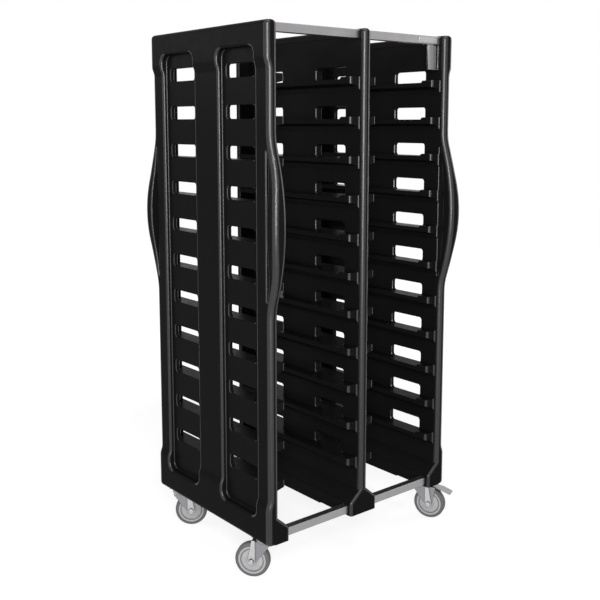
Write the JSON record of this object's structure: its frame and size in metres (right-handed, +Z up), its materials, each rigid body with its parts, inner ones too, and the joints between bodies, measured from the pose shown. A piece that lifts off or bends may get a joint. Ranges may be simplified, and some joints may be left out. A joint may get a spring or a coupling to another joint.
{
  "type": "tray trolley",
  "caption": "Open double-bay tray trolley with black moulded panels, tray ledges, side handles, square rails, swivel castors and foot brakes.",
  "frame": {"origin": "on the floor, under the centre of the trolley", "axes": "+X to the right seen from the front, +Y from the front to the back, +Z up"},
  "size_m": [0.949, 0.82, 1.912],
  "materials": {
    "black_plastic": "satin moulded",
    "rail_aluminium": "satin",
    "label_aluminium": "smooth, bare",
    "sheet_steel": "folded sheet",
    "zinc_steel": "bright zinc",
    "ball_steel": "hardened",
    "wheel_core": "light grey",
    "tread_rubber": "grey, non-marking",
    "shoe_rubber": "black"
  },
  "bodies": {
    "frame": {"left_side_panel": "black_plastic", "right_side_panel": "black_plastic", "centre_panel": "black_plastic", "top_front_rail": "rail_aluminium", "top_rear_rail": "rail_aluminium", "bottom_front_rail": "rail_aluminium", "bottom_rear_rail": "rail_aluminium", "rail_screws": "zinc_steel", "label_plate": "label_aluminium", "card_holder": "sheet_steel", "castor_bolts": "zinc_steel", "front_left_mounting_plate": "zinc_steel", "front_left_swivel_race": "zinc_steel", "front_left_king_pin": "zinc_steel", "rear_left_mounting_plate": "zinc_steel", "rear_left_swivel_race": "zinc_steel", "rear_left_king_pin": "zinc_steel", "front_right_mounting_plate": "zinc_steel", "front_right_swivel_race": "zinc_steel", "front_right_king_pin": "zinc_steel", "rear_right_mounting_plate": "zinc_steel", "rear_right_swivel_race": "zinc_steel", "rear_right_king_pin": "zinc_steel"},
    "front_left_swivel": {"front_left_swivel_balls": "ball_steel", "front_left_fork": "zinc_steel", "front_left_axle_bolt": "zinc_steel", "front_left_axle_bush": "ball_steel"},
    "front_left_wheel": {"front_left_wheel_hub": "wheel_core", "front_left_wheel_tread": "tread_rubber"},
    "rear_left_swivel": {"rear_left_swivel_balls": "ball_steel", "rear_left_fork": "zinc_steel", "rear_left_axle_bolt": "zinc_steel", "rear_left_axle_bush": "ball_steel"},
    "rear_left_wheel": {"rear_left_wheel_hub": "wheel_core", "rear_left_wheel_tread": "tread_rubber"},
    "front_right_swivel": {"front_right_swivel_balls": "ball_steel", "front_right_fork": "zinc_steel", "front_right_axle_bolt": "zinc_steel", "front_right_axle_bush": "ball_steel", "front_right_brake_pin": "ball_steel"},
    "front_right_wheel": {"front_right_wheel_hub": "wheel_core", "front_right_wheel_tread": "tread_rubber"},
    "front_right_pedal": {"front_right_brake_pedal": "zinc_steel", "front_right_brake_shoe": "shoe_rubber"},
    "rear_right_swivel": {"rear_right_swivel_balls": "ball_steel", "rear_right_fork": "zinc_steel", "rear_right_axle_bolt": "zinc_steel", "rear_right_axle_bush": "ball_steel", "rear_right_brake_pin": "ball_steel"},
    "rear_right_wheel": {"rear_right_wheel_hub": "wheel_core", "rear_right_wheel_tread": "tread_rubber"},
    "rear_right_pedal": {"rear_right_brake_pedal": "zinc_steel", "rear_right_brake_shoe": "shoe_rubber"}
  },
  "joints": [
    {"name": "front_left_swivel_turn", "type": "hinge", "parent": "frame", "child": "front_left_swivel", "pos_m": [-0.398, -0.275, 0.152], "axis": [0, 0, 1], "continuous": true},
    {"name": "front_left_wheel_roll", "type": "hinge", "parent": "front_left_swivel", "child": "front_left_wheel", "pos_m": [-0.42386, -0.2419, 0.0625], "axis": [-0.788, -0.6157, 0], "continuous": true},
    {"name": "rear_left_swivel_turn", "type": "hinge", "parent": "frame", "child": "rear_left_swivel", "pos_m": [-0.398, 0.275, 0.152], "axis": [0, 0, 1], "continuous": true},
    {"name": "rear_left_wheel_roll", "type": "hinge", "parent": "rear_left_swivel", "child": "rear_left_wheel", "pos_m": [-0.3649, 0.24914, 0.0625], "axis": [0.6157, 0.788, 0], "continuous": true},
    {"name": "front_right_swivel_turn", "type": "hinge", "parent": "frame", "child": "front_right_swivel", "pos_m": [0.398, -0.275, 0.152], "axis": [0, 0, 1], "continuous": true},
    {"name": "front_right_wheel_roll", "type": "hinge", "parent": "front_right_swivel", "child": "front_right_wheel", "pos_m": [0.41641, -0.31275, 0.0625], "axis": [0.8988, 0.4384, 0], "continuous": true},
    {"name": "front_right_pedal_press", "type": "hinge", "parent": "front_right_swivel", "child": "front_right_pedal", "pos_m": [0.42518, -0.33073, 0.13], "axis": [0.8988, 0.4384, 0], "range_deg": [0, 12]},
    {"name": "rear_right_swivel_turn", "type": "hinge", "parent": "frame", "child": "rear_right_swivel", "pos_m": [0.398, 0.275, 0.152], "axis": [0, 0, 1], "continuous": true},
    {"name": "rear_right_wheel_roll", "type": "hinge", "parent": "rear_right_swivel", "child": "rear_right_wheel", "pos_m": [0.41772, 0.31208, 0.0625], "axis": [-0.8829, 0.4695, 0], "continuous": true},
    {"name": "rear_right_pedal_press", "type": "hinge", "parent": "rear_right_swivel", "child": "rear_right_pedal", "pos_m": [0.42711, 0.32974, 0.13], "axis": [-0.8829, 0.4695, 0], "range_deg": [0, 12]}
  ]
}
